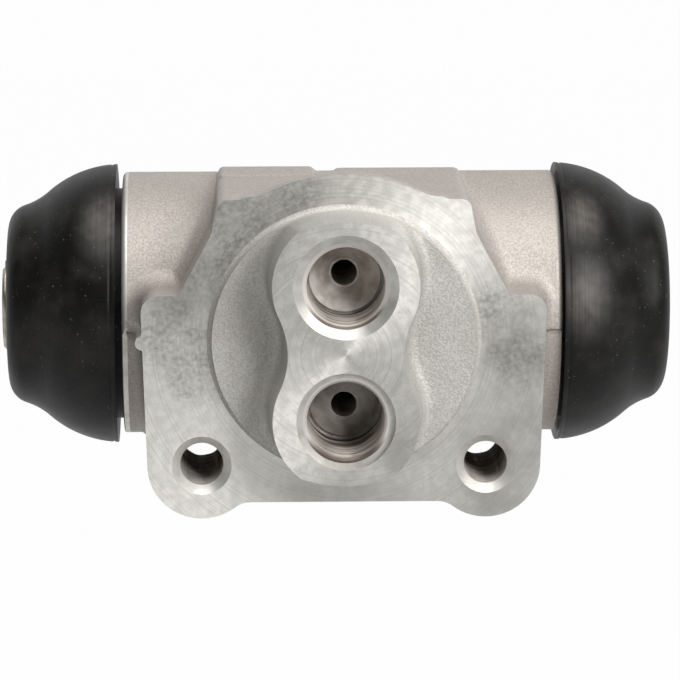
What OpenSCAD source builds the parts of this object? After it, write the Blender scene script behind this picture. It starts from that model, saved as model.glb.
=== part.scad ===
// Hydraulic wheel cylinder for a drum brake: a cast and machined aluminium body, with two opposed
// pistons, their rubber cups and dust boots, and a spring between them.
// The origin is where the axis of the port boss meets the mounting face. +X runs along the bore,
// +Y runs from the mounting face into the body, and +Z is up. All sizes are in millimetres.

/* [Barrel] */
// Outside diameter of the barrel
barrel_d = 31.5; // [30:0.1:34]
// Length of the barrel between its end faces
barrel_len = 51.5; // [50:0.5:60]
// Diameter of the bore that the pistons run in
bore_d = 22.2; // [20:0.1:23]
// Distance of the bore axis behind the mounting face
axis_depth = 22; // [21:0.5:25]
// Diameter of the recess at each end of the barrel that takes the boot's collar
end_recess_d = 27.8; // [26.5:0.1:28.4]
// Depth of that recess
end_recess_depth = 3.2; // [2.5:0.1:4.5]
// Chamfer around each end face
end_chamfer = 0.6; // [0.3:0.1:0.9]
// Chamfer that leads the cups into the bore
bore_chamfer = 0.8; // [0.4:0.1:1.2]

/* [Mounting flange] */
// Outside radius of the machined ring around the port boss
ring_r = 19.3; // [18.5:0.1:20.5]
// Thickness of the ring where it stands clear above the shoulders
ring_t = 2.4; // [1.5:0.1:4]
// Half the width of the flange at its shoulders
shoulder_half_w = 14.4; // [13:0.1:16]
// Height of the shoulders above the top of the barrel, at the mounting face
shoulder_rise = 0.6; // [0.4:0.1:0.8]
// Fall of the shoulders' top beside the pads, from the pads' front edge back to the bore axis
shoulder_fall = 0.3; // [0:0.1:0.6]
// Half the width of the flange at the foot of its shoulders
waist_half_w = 15.2; // [14.5:0.1:17]
// Height of the waist above the bore axis
waist_z = 12.3; // [11:0.1:13]
// Half the width of the flange where the flank meets the wing
flank_half_w = 19; // [18:0.1:20.5]
// Half the width of the flange across its wings
wing_half_w = 23.4; // [22.8:0.1:24.5]
// Height of the wings' top edge above the bore axis
wing_z = 5.2; // [4:0.1:7]
// Distance of the flange's bottom edge below the bore axis
bottom_z = 19.2; // [18.4:0.1:20]
// Thickness of the flange at the mounting holes
lug_depth = 14; // [10:0.5:15]
// Radius of the lug around each mounting hole
lug_r = 6.3; // [5.5:0.1:6.6]
// Distance between the two mounting holes
hole_spacing = 32.9; // [32:0.1:34]
// Distance of the mounting holes below the bore axis
hole_drop = 14.8; // [14.2:0.1:15.5]
// Diameter of the mounting holes, before the M6 thread is cut
hole_d = 5; // [4.8:0.1:5.6]
// Depth that the mounting holes are drilled to, through the lugs
hole_depth = 16; // [15.5:0.5:18]
// Diameter of the countersink at each mounting hole
hole_sink_d = 6.9; // [6.4:0.1:8]
// Radius of the cast fillet where the flange meets the barrel
cast_fillet = 1.8; // [1:0.1:2.2]
// Radius of the fillets that lead the outline into the lugs and the ring
foot_r = 3; // [2:0.1:4]
// Radius of the wings' corners
wing_corner_r = 2; // [1:0.1:2.6]
// Radius of the other corners of the flange's outline
edge_r = 1.1; // [0.6:0.1:1.3]

/* [Identification pads] */
// Height of the left pad above the top of the barrel
left_pad_rise = 0.85; // [0.8:0.05:1.5]
// Height of the right pad above the top of the barrel
right_pad_rise = 0.65; // [0.6:0.05:1.2]
// Width of the gap between the two pads
pad_gap = 2.2; // [1.5:0.1:3]
// Distance of that gap's middle to the left of the port axis
pad_gap_x = 1.8; // [0:0.1:3]
// Width of each pad, from its front edge back to the bore axis
pad_w = 5.8; // [4:0.1:7]

/* [Port boss] */
// Radius that the boss and the ring's inner edge are turned to
spigot_r = 15.2; // [14.8:0.1:16]
// Height of the boss above the mounting face
boss_h = 8.6; // [7:0.1:10]
// Distance between the two ports
port_spacing = 15.5; // [14.5:0.1:16.5]
// Radius of the boss around each port, at its face
lobe_r = 8.35; // [8:0.05:9]
// Half the width of the boss at its waist, at its face
boss_waist = 6.6; // [6:0.1:7]
// Draft of the boss's cast sides
draft_deg = 4; // [2:0.5:6]
// Depth of the cast recess beside the boss
recess_depth = 2.5; // [1.5:0.1:3.5]
// Slope of the recess's outer wall, measured inwards at its floor
recess_slope = 1; // [0.4:0.1:1.5]

/* [Ports] */
// Diameter of each port, before the M10 x 1 thread is cut
port_d = 8.92; // [8.5:0.01:9.2]
// Depth from the boss face to the drilled passage
port_depth = 9.3; // [8:0.1:11]
// Diameter of the bleed port's countersink
bleed_sink_d = 12; // [10.5:0.1:13]
// Depth of the bleed port's countersink
bleed_sink_depth = 1.2; // [0.6:0.1:2]
// Diameter of the bleed port's seat cone, below the thread
bleed_seat_d = 8.1; // [7:0.1:8.6]
// Depth of the bleed port's seat cone
bleed_seat_depth = 2.6; // [2:0.1:3.5]
// Diameter of the inlet port's spot face
inlet_face_d = 11.3; // [10.5:0.1:12.5]
// Depth of the inlet port's spot face
inlet_face_depth = 0.8; // [0.4:0.1:1.5]
// Diameter of the inlet port's seat cone, below the thread
inlet_seat_d = 7.8; // [7:0.1:8.4]
// Depth of the inlet port's seat cone
inlet_seat_depth = 1; // [0.6:0.1:2]
// Diameter of the passages drilled from the ports to the bore
passage_d = 3; // [2:0.1:3.6]

/* [Pistons] */
// Length of a piston from its crown to its nose
piston_len = 27; // [26:0.5:29]
// Length of the piston's head, which runs in the bore
head_len = 11.4; // [9:0.1:13]
// Diameter of the piston's shank
shank_d = 17; // [15:0.1:18]
// Diameter of the flange on the piston's nose
nose_d = 11.4; // [11:0.1:12]
// Thickness of that flange
nose_t = 0.6; // [0.4:0.1:0.9]
// Diameter of the groove that holds the boot's lip
nose_groove_d = 10; // [9.6:0.1:10.4]
// Width of the slot for the brake shoe's web
slot_w = 5.4; // [5:0.1:6]
// Depth of that slot
slot_depth = 5.5; // [5:0.1:7]
// Chamfer on the piston's edges
piston_edge = 0.5; // [0.2:0.1:0.8]
// Radial clearance of the pistons and cups in the bore
bore_clearance = 0.04; // [0.02:0.01:0.08]

/* [Cup seals] */
// Thickness of a cup at its web
cup_web_t = 2.4; // [1.8:0.1:3]
// Height of a cup from its back to its lip
cup_h = 5; // [4.4:0.1:6]
// Thickness of a cup's lip
cup_lip_t = 1; // [0.7:0.1:1.3]
// Growth of that thickness towards the root of the lip
cup_root_t = 2.2; // [1.8:0.1:2.5]
// How far the cup's back stands in from its lip, measured on the radius
cup_relief = 0.3; // [0.1:0.1:0.5]
// Chamfer around the cup's back
cup_back_edge = 0.8; // [0.4:0.1:1.2]

/* [Spring and expanders] */
// Sheet thickness of a cup expander
expander_t = 0.6; // [0.5:0.1:0.8]
// Diameter of the flat of a cup expander
expander_flat_d = 14; // [13:0.1:14.6]
// Height of its raised middle
expander_dome_h = 1.2; // [0.8:0.1:1.6]
// How far its rim reaches out past the root of the cup's lip
expander_reach = 0.9; // [0.6:0.1:1.2]
// Clearance of the spring around the raised middle
spring_clearance = 0.4; // [0.2:0.1:0.8]
// Diameter of the spring wire
wire_d = 1.1; // [0.8:0.1:1.3]
// Mean diameter of the spring
spring_d = 10; // [9:0.1:11]
// Number of active turns of the spring
active_turns = 4; // [3:1:6]

/* [Dust boots] */
// How far the rim stands out past the barrel, measured on the radius
rim_overhang = 0.95; // [0.8:0.05:1.6]
// Thickness of the rim's edge
rim_t = 0.7; // [0.4:0.1:1]
// Radius of the dome in section
boot_dome_r = 13.2; // [12.6:0.1:13.6]
// Slope where the dome turns into the neck, from the bore axis
boot_dome_deg = 41; // [39:1:43]
// Radius of the neck's hollow in section
boot_neck_r = 8.2; // [7:0.1:9]
// Slope where the neck turns into the nose, from the bore axis
boot_neck_deg = 18; // [14:1:22]
// Radius of the nose's rounded edge in section
boot_nose_r = 2.8; // [2.5:0.1:3.2]
// Wall of the boot
boot_wall = 1.8; // [1.5:0.1:2]
// Length of the collar that plugs into the barrel
collar_len = 3; // [2.6:0.1:3.2]
// Wall of that collar
collar_t = 1.5; // [1.2:0.1:1.8]
// Distance of the left boot's rim from the end of the barrel
left_standoff = 0.75; // [0.2:0.05:1.4]
// Distance of the right boot's rim from the end of the barrel
right_standoff = 0.25; // [0.2:0.05:1.4]
// How far the left piston draws in the end of its boot
left_draw = 0; // [0:0.05:0.5]
// How far the right piston draws in the end of its boot
right_draw = 0.3; // [0:0.05:0.5]
// Clearance of the boot around the piston and in the barrel
boot_clearance = 0.1; // [0.05:0.05:0.2]

/* [Hidden] */
$fn = 96;

LEFT = -1;
RIGHT = 1;
// Extra length that lets a cut run clear of the face that it starts from
over = 1;
// Gap left between flat faces that press on each other
seat_gap = 0.05;
// Radius of the fillets on the wings, as a multiple of a true rolling fillet's
fillet_flatness = 1.3;

barrel_r = barrel_d / 2;
bore_r = bore_d / 2;
end_x = barrel_len / 2;
hole_x = hole_spacing / 2;
port_z = port_spacing / 2;
shoulder_z = barrel_r + shoulder_rise;
floor_draft = (boss_h + recess_depth) * tan(draft_deg);
// The waist arcs touch both lobes: their radius follows from the lobes, the waist and the ports
waist_r = (boss_waist^2 + port_z^2 - lobe_r^2) / (2 * (lobe_r - boss_waist));
waist_x = boss_waist + waist_r;

piston_r = bore_r - bore_clearance;
rim_r = barrel_r + rim_overhang;
collar_r = end_recess_d / 2 - boot_clearance;
lip_hole_r = nose_groove_d / 2 + boot_clearance;
// The boot's section is three arcs, each touching the next; angles are slopes from the bore axis
boot_rim_deg = 2;
boot_end_deg = 90;
boot_root_deg = 20;
dome_centre = [rim_r, 0] - boot_dome_r * [cos(boot_rim_deg), sin(boot_rim_deg)];
neck_centre = dome_centre + (boot_dome_r + boot_neck_r) * [cos(boot_dome_deg), sin(boot_dome_deg)];
nose_centre = neck_centre - (boot_neck_r + boot_nose_r) * [cos(boot_neck_deg), sin(boot_neck_deg)];
boot_len = nose_centre[1] + boot_nose_r;
// The boot's end wall fills the piston's groove, and the nose flange stands just clear of it
groove_w = boot_wall + 2 * seat_gap;

// The cup's lip thickens towards its root, and the expander's rim lies along that slope
cup_root_r = bore_r - cup_lip_t - cup_root_t;
expander_rim_r = cup_root_r + expander_reach;

aluminium_cast = "#b9b6b0";
aluminium_turned = "#c9c9c6";
rubber_black = "#1d1c1c";
steel = "#8d9094";

function standoff(side) = side == LEFT ? left_standoff : right_standoff;
function rim_x(side) = end_x + standoff(side);
function draw(side) = side == LEFT ? left_draw : right_draw;
function lip_x(side) = boot_len - draw(side);
function nose_x(side) = rim_x(side) + lip_x(side) + seat_gap + nose_t;
function crown_x(side) = nose_x(side) - piston_len;
function expander_x(side) = crown_x(side) - seat_gap - cup_web_t - seat_gap;
function spring_x(side) = expander_x(side) - expander_t - seat_gap;

function unit(v) = v / norm(v);
// Points along an arc from angle a to angle b, in steps steps
function arc(centre, r, a, b, steps = 12) =
    [for (i = [0 : steps]) centre + r * [cos(a + (b - a) * i / steps), sin(a + (b - a) * i / steps)]];
function flipped(p) = [-p[0], p[1]];
function mirrored(right_half) =
    concat(right_half, [for (i = [len(right_half) - 1 : -1 : 0]) flipped(right_half[i])]);

// Children drawn in X and Z, pushed from y0 to y1
module through_y(y0, y1) {
    translate([0, y1, 0]) rotate([90, 0, 0]) linear_extrude(y1 - y0) children();
}

// Children drawn in Y and Z, pushed from x0 to x1
module through_x(x0, x1) {
    translate([x0, 0, 0]) rotate([90, 0, 90]) linear_extrude(x1 - x0) children();
}

// Children with their own +Z pointing out of the mounting face, at height z and depth y
module facing_out(x, y, z) {
    translate([x, y, z]) rotate([90, 0, 0]) children();
}

// Children with their own +Z pointing out of the barrel, on the bore axis, on one side
module on_bore_axis(side, x) {
    translate([side * x, axis_depth, 0]) rotate([0, side * 90, 0]) children();
}

// Points of an outline, counted anticlockwise, with each inner corner [x, y, radius] of a path rounded
function rounded(path) = [for (i = [1 : len(path) - 2]) let (
    corner = [path[i][0], path[i][1]],
    back = unit([path[i - 1][0], path[i - 1][1]] - corner),
    ahead = unit([path[i + 1][0], path[i + 1][1]] - corner),
    half = acos(back * ahead) / 2,
    r = path[i][2],
    centre = corner + unit(back + ahead) * r / sin(half),
    turn = cross(-back, ahead) > 0 ? 180 - 2 * half : 2 * half - 180,
    from = corner + back * r / tan(half) - centre,
    start = atan2(from[1], from[0])
) each arc(centre, r, start, start + turn, 8)];

// Outline of the flange, in X and Z: a foot fillet, a lug, a wing, a flank and a shoulder on each side
module flange_outline() {
    lug = [hole_x, -hole_drop];
    foot_z = -bottom_z - foot_r;
    foot = [hole_x - sqrt((lug_r + foot_r)^2 - (foot_z + hole_drop)^2), foot_z];
    foot_deg = atan2(lug[1] - foot[1], lug[0] - foot[0]);
    right_half = concat(
        arc(foot, foot_r, 90, foot_deg, 6),
        arc(lug, lug_r, 180 + foot_deg, 360, 24),
        rounded([
            [hole_x + lug_r, -hole_drop],
            [wing_half_w, wing_z, wing_corner_r],
            [flank_half_w, wing_z, edge_r],
            [waist_half_w, waist_z, 2 * edge_r],
            [shoulder_half_w, shoulder_z, edge_r],
            [0, shoulder_z]
        ])
    );
    polygon(mirrored(right_half));
}

// Outline of the ring, in X and Z, where it stands above the shoulders
module ring_outline() {
    blend = [sqrt((ring_r + foot_r)^2 - (shoulder_z + foot_r)^2), shoulder_z + foot_r];
    blend_deg = atan2(blend[1], blend[0]);
    right_half = concat(
        [[blend[0], waist_z]],
        arc(blend, foot_r, 270, 180 + blend_deg, 6),
        arc([0, 0], ring_r, blend_deg, 90, 16)
    );
    polygon(mirrored(right_half));
}

// Side view of the flange, in Y and Z: the lower part ends at the lugs, the upper part runs to the axis
module flange_side() {
    polygon([
        [0, -bottom_z - lug_r], [lug_depth, -bottom_z - lug_r], [lug_depth, 0], [axis_depth, 0],
        [axis_depth, shoulder_z - shoulder_fall], [axis_depth - pad_w, shoulder_z], [0, shoulder_z]
    ]);
    // Fillet between the back of the flange and the underside of the barrel
    back_y = lug_depth + cast_fillet;
    back_z = -sqrt((barrel_r + cast_fillet)^2 - (axis_depth - back_y)^2);
    difference() {
        polygon([[lug_depth, back_z], [back_y, back_z], [axis_depth, 0], [lug_depth, 0]]);
        translate([back_y, back_z]) circle(cast_fillet);
    }
}

// Fillets between the top of each wing and the front of the barrel
module wing_fillets() {
    centre = [axis_depth - sqrt((barrel_r + cast_fillet)^2 - (wing_z + cast_fillet)^2), wing_z + cast_fillet];
    axis = [axis_depth, 0];
    foot = [centre[0], wing_z];
    head = axis + unit(centre - axis) * barrel_r;
    // A slightly flatter arc than a true rolling fillet, through the same two ends
    flat_r = fillet_flatness * cast_fillet;
    middle = (foot + head) / 2;
    flat_centre = middle + unit(centre - middle) * sqrt(flat_r^2 - norm(head - foot)^2 / 4);
    for (side = [LEFT, RIGHT]) mirror([side == LEFT ? 1 : 0, 0, 0])
        through_x(0, wing_half_w - wing_corner_r) difference() {
            polygon([foot, axis, head]);
            translate(flat_centre) circle(flat_r);
        }
}

// Flat pads on the shoulders' top, beside each other with a gap between
module identification_pads() {
    module pad(x0, x1, rise) {
        top = barrel_r + rise;
        through_y(axis_depth - pad_w, axis_depth)
            polygon([
                [x0, 0], [x1, 0], [x1, top - rise], [x1 - rise, top], [x0 + rise, top], [x0, top - rise]
            ]);
    }
    pad(-shoulder_half_w, -pad_gap_x - pad_gap / 2, left_pad_rise);
    pad(-pad_gap_x + pad_gap / 2, shoulder_half_w, right_pad_rise);
}

// The two lobes of the boss and its waist, with drafted sides, turned to the spigot radius
module port_boss() {
    h = boss_h + recess_depth;
    intersection() {
        facing_out(0, recess_depth, 0) {
            for (z = [-port_z, port_z]) translate([0, z, 0])
                cylinder(h = h, r1 = lobe_r + floor_draft, r2 = lobe_r);
            difference() {
                linear_extrude(h) polygon([[waist_x, 0], [0, port_z], [-waist_x, 0], [0, -port_z]]);
                for (x = [-waist_x, waist_x]) translate([x, 0, 0])
                    cylinder(h = h, r1 = waist_r - floor_draft, r2 = waist_r);
            }
        }
        facing_out(0, recess_depth, 0) cylinder(h = h, r = spigot_r);
    }
}

// The ring recess around the boss, as cast
module boss_recess() {
    facing_out(0, recess_depth, 0) cylinder(h = recess_depth, r1 = spigot_r - recess_slope, r2 = spigot_r);
}

// A port cut from the boss face: a mouth, the wall that takes the thread, a seat cone and a passage
module port_cut(z, mouth, seat_d, seat_depth) {
    wall_end = -port_depth + seat_depth;
    facing_out(0, -boss_h, z) {
        rotate_extrude() polygon(concat(
            [[0, over]], mouth,
            [[port_d / 2, wall_end], [seat_d / 2, wall_end], [passage_d / 2, -port_depth], [0, -port_depth]]
        ));
        // The passage ends on the bore axis
        translate([0, 0, -boss_h - axis_depth])
            cylinder(h = boss_h + axis_depth - port_depth + over, d = passage_d);
    }
}

module ports() {
    port_cut(port_z, [
        [bleed_sink_d / 2, over], [bleed_sink_d / 2, 0], [port_d / 2, -bleed_sink_depth]
    ], bleed_seat_d, bleed_seat_depth);
    port_cut(-port_z, [
        [inlet_face_d / 2, over], [inlet_face_d / 2, -inlet_face_depth], [port_d / 2, -inlet_face_depth]
    ], inlet_seat_d, inlet_seat_depth);
}

module mounting_holes() {
    sink = (hole_sink_d - hole_d) / 2;
    for (side = [LEFT, RIGHT]) facing_out(side * hole_x, 0, -hole_drop) rotate_extrude() polygon([
        [0, -hole_depth], [hole_d / 2, -hole_depth], [hole_d / 2, -sink],
        [hole_sink_d / 2, 0], [hole_sink_d / 2, over], [0, over]
    ]);
}

// The bore with the recess and lead-in at each end
module bore_cut() {
    recess_r = end_recess_d / 2;
    for (side = [LEFT, RIGHT]) on_bore_axis(side, 0) rotate_extrude() polygon([
        [0, -over], [bore_r, -over], [bore_r, end_x - end_recess_depth - bore_chamfer],
        [bore_r + bore_chamfer, end_x - end_recess_depth], [recess_r, end_x - end_recess_depth],
        [recess_r, end_x + over], [0, end_x + over]
    ]);
}

module barrel() {
    for (side = [LEFT, RIGHT]) on_bore_axis(side, 0) rotate_extrude() polygon([
        [0, 0], [barrel_r, 0], [barrel_r, end_x - end_chamfer], [barrel_r - end_chamfer, end_x], [0, end_x]
    ]);
}

module cylinder_body() {
    color(aluminium_cast) difference() {
        union() {
            difference() {
                union() {
                    barrel();
                    intersection() {
                        through_y(0, axis_depth) flange_outline();
                        through_x(-2 * wing_half_w, 2 * wing_half_w) flange_side();
                    }
                    through_y(0, ring_t) ring_outline();
                    wing_fillets();
                    identification_pads();
                }
                boss_recess();
            }
            port_boss();
        }
        bore_cut();
        ports();
        mounting_holes();
    }
}

// The boot's three arcs as [radius, distance from the rim], moved inwards by a depth
function boot_arcs(depth, from_deg) = concat(
    arc(dome_centre, boot_dome_r - depth, from_deg, boot_dome_deg),
    arc(neck_centre, boot_neck_r + depth, 180 + boot_dome_deg, 180 + boot_neck_deg, 8),
    arc(nose_centre, boot_nose_r - depth, boot_neck_deg, boot_end_deg, 8)
);

// A rubber boot: its collar plugs into the barrel and its end wall lies in the piston's groove
module boot(side) {
    inner = boot_arcs(boot_wall, boot_root_deg);
    collar_in = collar_r - collar_t;
    lead = collar_t / 4;
    color(rubber_black) on_bore_axis(side, rim_x(side)) rotate_extrude() polygon(concat(
        boot_arcs(0, boot_rim_deg),
        [[lip_hole_r, lip_x(side)], [lip_hole_r, lip_x(side) - boot_wall]],
        [for (i = [len(inner) - 1 : -1 : 0]) inner[i]],
        [[collar_in, rim_t], [collar_in, -collar_len], [collar_r - lead, -collar_len]],
        [[collar_r, -collar_len + lead], [collar_r, rim_t], [rim_r - rim_t, 0]]
    ));
}

module piston(side) {
    neck_x = piston_len - nose_t - groove_w;
    edge = piston_edge;
    nose_edge = nose_t / 2;
    color(aluminium_turned) on_bore_axis(side, crown_x(side)) difference() {
        rotate_extrude() polygon([
            [0, 0], [piston_r - edge, 0], [piston_r, edge],
            [piston_r, head_len - edge], [piston_r - edge, head_len], [shank_d / 2, head_len],
            [shank_d / 2, neck_x - edge], [shank_d / 2 - edge, neck_x],
            [nose_groove_d / 2, neck_x], [nose_groove_d / 2, piston_len - nose_t],
            [nose_d / 2, piston_len - nose_t], [nose_d / 2, piston_len - nose_edge],
            [nose_d / 2 - nose_edge, piston_len], [0, piston_len]
        ]);
        // The slot lies in the plane of the brake shoe, so it is open at the top and bottom of the nose
        translate([-shank_d / 2 - over, -slot_w / 2, piston_len - slot_depth])
            cube([shank_d + 2 * over, slot_w, slot_depth + over]);
    }
}

// A rubber cup that lies against the piston's crown, with its lip turned towards the middle
module cup_seal(side) {
    back_r = piston_r - cup_relief;
    color(rubber_black) on_bore_axis(side, crown_x(side) - seat_gap) rotate_extrude() polygon([
        [0, 0], [back_r - cup_back_edge, 0], [back_r, -cup_back_edge], [back_r, -cup_web_t],
        [piston_r, -cup_h], [piston_r - cup_lip_t, -cup_h], [cup_root_r, -cup_web_t], [0, -cup_web_t]
    ]);
}

// A dished washer that keeps the cup's lip pressed out, with a raised middle that centres the spring
module cup_expander(side) {
    flat_r = expander_flat_d / 2;
    dome_r = spring_d / 2 - wire_d / 2 - spring_clearance;
    dome_top_r = dome_r - expander_dome_h;
    rim_run = expander_rim_r - flat_r;
    lean = expander_t / 2;
    color(steel) on_bore_axis(side, expander_x(side)) rotate_extrude() polygon([
        [0, -expander_dome_h], [dome_top_r - lean, -expander_dome_h], [dome_r - lean, 0], [flat_r, 0],
        [expander_rim_r, -rim_run], [expander_rim_r - expander_t, -rim_run - lean],
        [flat_r - lean, -expander_t], [dome_r, -expander_t],
        [dome_top_r, -expander_dome_h - expander_t], [0, -expander_dome_h - expander_t]
    ]);
}

// The spring's wire as rings of points swept along its axis, with one closed turn at each end
module return_spring() {
    sides = 8;
    steps = 24;
    x0 = -spring_x(LEFT);
    x1 = spring_x(RIGHT);
    turns = active_turns + 2;
    rows = turns * steps;
    wire_r = wire_d / 2;
    active_len = x1 - x0 - wire_d - 2 * wire_d;
    function climb(t) = t < 1 ? t * wire_d
        : t > turns - 1 ? wire_d + active_len + (t - turns + 1) * wire_d
        : wire_d + (t - 1) / active_turns * active_len;
    function ring(i) = let (t = i / steps, a = 360 * t) [for (k = [0 : sides - 1]) let (
        b = 360 * k / sides, r = spring_d / 2 + wire_r * cos(b))
        [x0 + wire_r + climb(t) + wire_r * sin(b), axis_depth + r * cos(a), r * sin(a)]];
    points = [for (i = [0 : rows]) each ring(i)];
    skin = [for (i = [0 : rows - 1], k = [0 : sides - 1]) let (j = (k + 1) % sides)
        [i * sides + k, i * sides + j, (i + 1) * sides + j, (i + 1) * sides + k]];
    first = [[for (k = [sides - 1 : -1 : 0]) k]];
    last = [[for (k = [0 : sides - 1]) rows * sides + k]];
    color(steel) polyhedron(points, concat(skin, first, last));
}

cylinder_body();
boot(LEFT);  // left_boot
boot(RIGHT);  // right_boot
piston(LEFT);  // left_piston
piston(RIGHT);  // right_piston
cup_seal(LEFT);  // left_cup_seal
cup_seal(RIGHT);  // right_cup_seal
cup_expander(LEFT);  // left_cup_expander
cup_expander(RIGHT);  // right_cup_expander
return_spring();
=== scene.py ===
"""Looks of a drum brake's wheel cylinder: its casting, boots, spring, finishes, camera and light.

Lengths are millimetres in the frame's own axes, and become metres where a mesh is made.
+X runs along the bore, +Y from the mounting face into the body, and +Z is up.
"""

import itertools
import math

import bmesh
import bpy
import numpy as np
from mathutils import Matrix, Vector


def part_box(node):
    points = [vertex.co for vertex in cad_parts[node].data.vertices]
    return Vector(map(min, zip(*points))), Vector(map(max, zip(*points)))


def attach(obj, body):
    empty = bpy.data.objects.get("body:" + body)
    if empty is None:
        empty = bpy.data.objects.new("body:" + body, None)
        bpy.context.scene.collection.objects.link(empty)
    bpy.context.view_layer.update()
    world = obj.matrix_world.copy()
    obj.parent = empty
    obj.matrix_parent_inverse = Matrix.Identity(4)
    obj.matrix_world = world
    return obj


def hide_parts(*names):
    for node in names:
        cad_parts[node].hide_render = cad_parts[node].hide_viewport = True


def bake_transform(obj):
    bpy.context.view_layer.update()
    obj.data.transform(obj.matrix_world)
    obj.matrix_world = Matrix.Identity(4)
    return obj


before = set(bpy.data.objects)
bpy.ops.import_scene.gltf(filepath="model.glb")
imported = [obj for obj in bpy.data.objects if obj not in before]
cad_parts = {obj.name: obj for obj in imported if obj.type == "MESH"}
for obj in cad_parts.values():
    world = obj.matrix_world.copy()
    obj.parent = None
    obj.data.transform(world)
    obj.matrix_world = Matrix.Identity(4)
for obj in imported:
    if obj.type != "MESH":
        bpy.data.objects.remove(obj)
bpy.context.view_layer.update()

MM = 0.001
LEFT = -1
RIGHT = 1

# Barrel
BARREL_R = 15.75
END_X = 25.75
BORE_R = 11.1
AXIS_Y = 22
END_RECESS_R = 13.9
END_RECESS_DEPTH = 3.2
END_ROUND = 0.6
BORE_CHAMFER = 0.8

# Mounting flange
RING_R = 19.3
RING_T = 2.4
SHOULDER_HALF_W = 14.4
SHOULDER_Z = 16.35
SHOULDER_FALL = 0.3
WAIST_HALF_W = 15.2
WAIST_Z = 12.3
FLANK_HALF_W = 19
WING_HALF_W = 23.4
WING_Z = 5.2
WING_CORNER_R = 2
BOTTOM_Z = -19.2
LUG_DEPTH = 16
LUG_R = 6.3
HOLE_X = 16.45
HOLE_Z = -14.8
HOLE_DEPTH = 18
HOLE_SINK_R = 3.45
FOOT_R = 3
EDGE_R = 1.1
CAST_FILLET = 1.8
FILLET_RUNOUT = 4
FILLET_LEAST = 0.05
BACK_EDGE_R = 0.8

# Identification pads, as [left end, right end, top]
PADS = [[-SHOULDER_HALF_W, -2.9, 16.6], [-0.7, SHOULDER_HALF_W, 16.4]]
PAD_W = 5.8
PAD_END_R = 0.7
PAD_EDGE_R = 0.2

# Spigot and port boss
SPIGOT_R = 15.2
SPIGOT_H = 1.4
SPIGOT_FILLET = 0.8
BOSS_H = 8.6
PORT_Z = 7.75
LOBE_R = 8.35
BOSS_WAIST = 6.6
DRAFT = math.tan(math.radians(4))
BOSS_FILLET = 1.3
WAIST_R = (BOSS_WAIST**2 + PORT_Z**2 - LOBE_R**2) / (2 * (LOBE_R - BOSS_WAIST))
WAIST_X = BOSS_WAIST + WAIST_R

# Parting line of the casting mould
PARTING_Z = -0.3
PARTING_STEP = 0.22
FLASH_R = 0.85
FLASH_X = -23.2
FLASH_SETBACK = 1

# Metal left on the casting for machining, and how far the cutting solids stand out of the faces they cut
ALLOWANCE = 1
TOOL_REACH = 4
MOUTH_REACH = 2
TOOL_STEP = 1
TOOL_OVERLAP = 0.5

# Ports and threads
PORT_R = 4.46
PORT_DEPTH = 9.3
PASSAGE_R = 1.5
BLEED_SINK_R = 6
BLEED_SINK_DEPTH = 1.2
BLEED_SEAT_R = 4.05
BLEED_SEAT_DEPTH = 2.6
INLET_FACE_R = 5.65
INLET_FACE_DEPTH = 0.8
INLET_SEAT_R = 3.9
INLET_SEAT_RISE = 0.8
INLET_EDGE = 0.25
PASSAGE_LIP = 0.25
SEAT_GROOVE = 0.5
SCREW_HOLE_R = 2.5
PITCH = 1
THREAD_DEPTH = 0.5
ROWS_PER_PITCH = 8
THREAD_RUNOUT = 0.1

# Dust boots
RIM_R = 16.7
RIM_X = {LEFT: 26.5, RIGHT: 26}
RIM_T = 0.7
BOOT_WALL = 1.8
BOOT_DOME_R = 13.2
BOOT_NECK_R = 8.2
BOOT_NOSE_R = 2.8
BOOT_DRAW = {LEFT: 0, RIGHT: 0.3}
RIM_DEG = 2
DOME_DEG = 41
NECK_DEG = 18
END_DEG = 90
ROOT_DEG = 20
COLLAR_R = 13.8
COLLAR_T = 1.5
COLLAR_LEN = 3
LIP_HOLE_R = 5.1
RIM_GROOVE_DEPTH = 0.1
RIM_GROOVE_AT = 0.55
RIM_GROOVE_W = 0.13
LIP_EDGE = 0.25

# Return spring
WIRE_R = 0.55
SPRING_R = 5
ACTIVE_TURNS = 4

# Mesh resolution, the angle at which an edge counts as sharp, and the reach of a face's test
CELL = 0.4
GRID_MARGIN = 1.5
LEAST_SLOPE = 0.25
LATHE_STEPS = 192
PORT_STEPS = 96
WIRE_ROWS = 120
WIRE_SIDES = 16
SHARP = math.radians(35)
TOUCH = 0.02

# Stained areas of the mounting face, and areas darkened smoothly as painted shade, as [x, z, reach]
STAINS = [[-20, 1.5, 7], [-12, 14, 7], [-15, 8, 7], [-6, 18, 5], [-17, -4, 5], [18, 3, 5], [20.5, -2, 6]]
PAINTED_SHADE_AREAS = [[0, -19, 10], [19, -11, 8], [20, -1, 7], [7, -11.5, 5], [-18, 6, 8], [17, -18, 6]]

# Dusty places on the boots that also carry painted highlights, as [x, y, z, reach], and how distances along
# each axis count there
DUST_AND_HIGHLIGHT = [[-27.9, 11.1, 11.5, 4.2], [28.4, 11.4, 12, 3.5], [28.7, 6.4, 3.4, 4.2]]
DUST_AND_HIGHLIGHT_SHAPE = (1, 0.6, 0.6)

# Camera: where it looks, from how far and at which angles
CAMERA_TARGET = (0.17, 22, -4.71)
CAMERA_DISTANCE = 477
CAMERA_AZIMUTH = -1.65
CAMERA_ELEVATION = 12
LENS = 209.3
CLIP_START = 10

# Lamps as [name, place, size, watts], the world's grey and the floor
LAMPS = [
    ["key", (360, -520, 270), 260, 3.7],
    ["side", (520, -260, 370), 400, 1],
    ["top", (20, -220, 650), 600, 4.8],
]
WORLD_GREY = (0.12, 0.12, 0.12, 1)
FLOOR_Z = -110
FLOOR_REACH = (-1500, 1000, 3000)
BACKDROP_TOP = 1500
FLOOR_WHITE_SHARE = 0.985


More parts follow.
